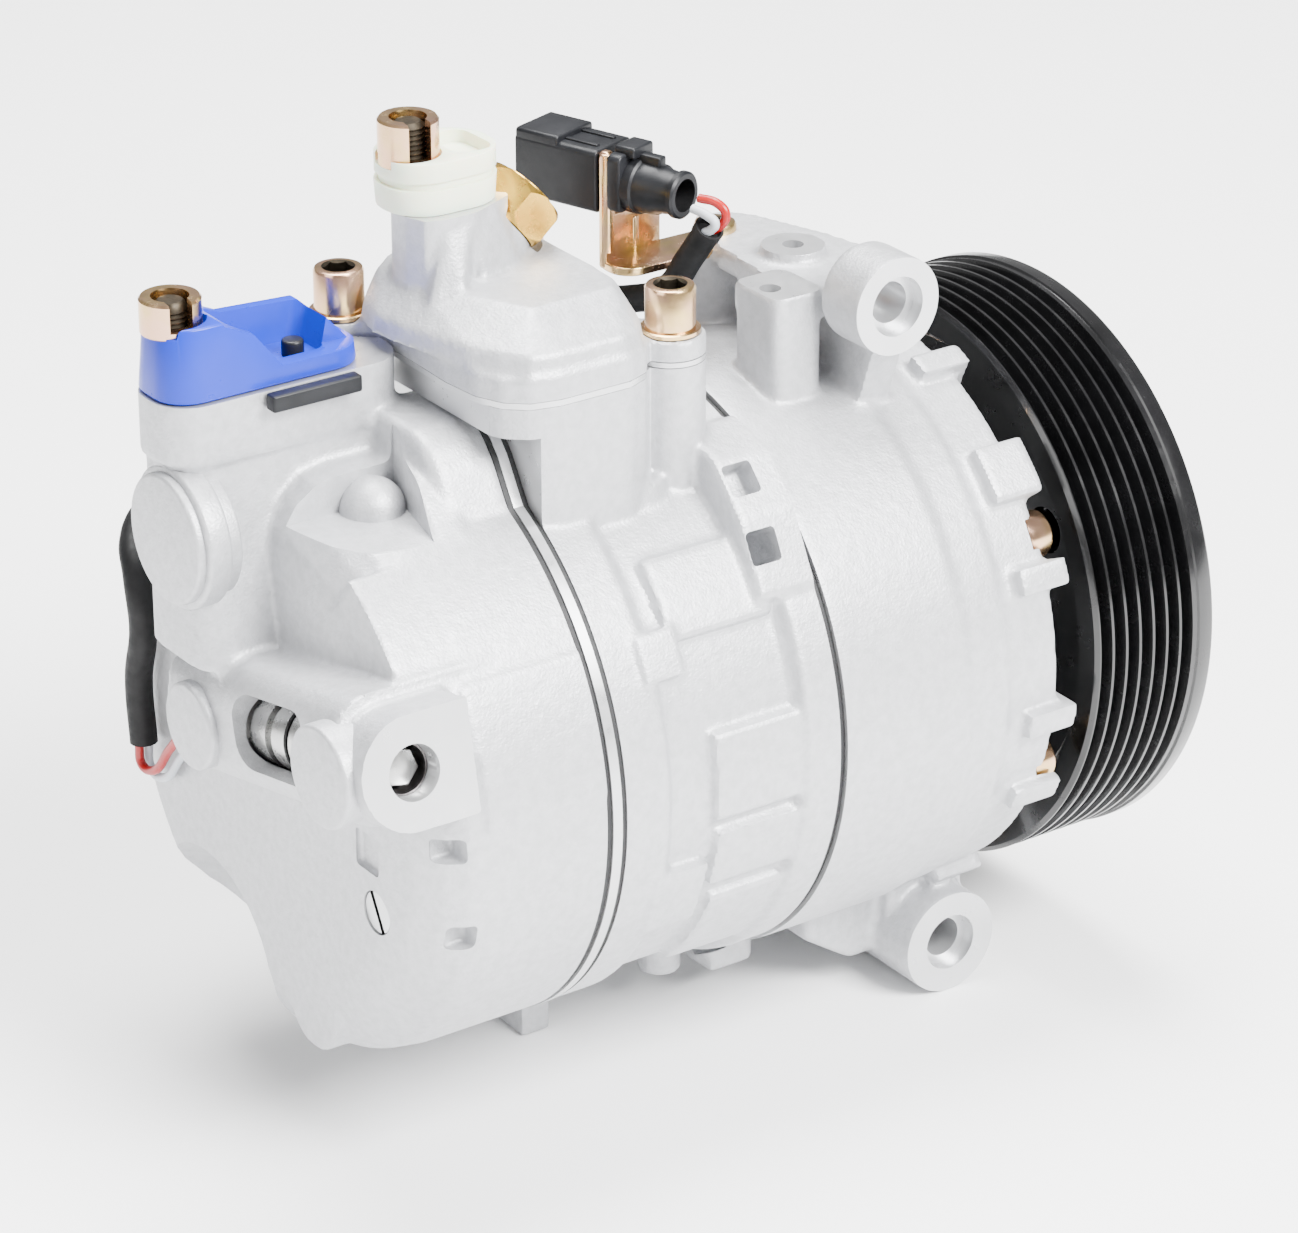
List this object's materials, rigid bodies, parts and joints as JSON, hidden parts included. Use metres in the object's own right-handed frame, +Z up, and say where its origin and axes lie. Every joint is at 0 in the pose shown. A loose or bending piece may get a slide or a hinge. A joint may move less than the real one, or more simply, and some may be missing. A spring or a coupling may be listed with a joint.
{
  "type": "automotive air conditioning compressor",
  "caption": "Swash-plate compressor with ribbed belt pulley, capped ports on top, two mounting lugs and a wired control valve.",
  "frame": {"origin": "under the middle of the compressor, on the surface it stands on (foot and lower lug)", "axes": "+X along the shaft towards the pulley, +Z up through the ports, -Y towards the side the mounting lugs open to"},
  "size_m": [0.2084, 0.1281, 0.2021],
  "materials": {
    "cast_aluminium": "fine sand-cast grain",
    "machined_aluminium": "machined",
    "steel": "ground",
    "dark_steel": "oiled",
    "yellow_zinc": "yellow zinc plating",
    "brass": "machined",
    "black_plastic": "moulded, satin",
    "blue_plastic": "moulded",
    "cream_plastic": "moulded, slightly translucent",
    "gasket": "coated",
    "black_rubber": "matte",
    "black_paint": "gloss black",
    "red_insulation": "satin",
    "grey_insulation": "satin",
    "piston_coat": "dark low-friction coating"
  },
  "bodies": {
    "housing": {"rear_head": "cast_aluminium", "cylinder_block": "cast_aluminium", "front_housing": "cast_aluminium", "muffler_cover": "cast_aluminium", "rear_head_gasket": "gasket", "valve_plate": "machined_aluminium", "cylinder_gasket": "gasket", "front_gasket": "gasket", "muffler_gasket": "gasket", "discharge_reeds": "steel", "suction_reeds": "steel", "through_bolt_1": "yellow_zinc", "through_bolt_2": "yellow_zinc", "through_bolt_3": "yellow_zinc", "through_bolt_4": "yellow_zinc", "through_bolt_5": "yellow_zinc", "through_bolt_6": "yellow_zinc", "cover_screw_1": "yellow_zinc", "cover_screw_2": "yellow_zinc", "cover_screw_3": "yellow_zinc", "discharge_cap": "blue_plastic", "discharge_nut": "yellow_zinc", "cap_clip": "black_plastic", "suction_cap": "cream_plastic", "suction_nut": "yellow_zinc", "relief_valve": "brass", "rear_plug": "machined_aluminium", "connector_housing": "black_plastic", "connector_plug": "black_plastic", "connector_bracket": "yellow_zinc", "bracket_screw": "yellow_zinc", "lead_sleeve": "black_rubber", "lead_red": "red_insulation", "lead_grey": "grey_insulation", "valve_lead_red": "red_insulation", "valve_lead_grey": "grey_insulation", "control_valve": "steel", "bearing_inner_race": "steel", "bearing_snap_ring": "dark_steel", "shaft_seal": "black_rubber", "front_bearing": "steel", "rear_bearing": "steel", "thrust_bearing": "steel", "piston_1": "piston_coat", "piston_2": "piston_coat", "piston_3": "piston_coat", "piston_4": "piston_coat", "piston_5": "piston_coat", "piston_6": "piston_coat", "piston_7": "piston_coat"},
    "rotor": {"pulley": "black_paint", "bearing_outer_race": "steel", "hub": "black_paint", "damper_ring": "black_rubber", "hub_nut": "dark_steel", "shaft": "steel", "lug_plate": "dark_steel", "guide_sleeve": "dark_steel", "swash_plate": "steel", "return_spring": "dark_steel"}
  },
  "joints": [
    {"name": "shaft_spin", "type": "hinge", "parent": "housing", "child": "rotor", "pos_m": [0.0942, 0.00045, 0.079], "axis": [1, 0, 0], "continuous": true}
  ]
}
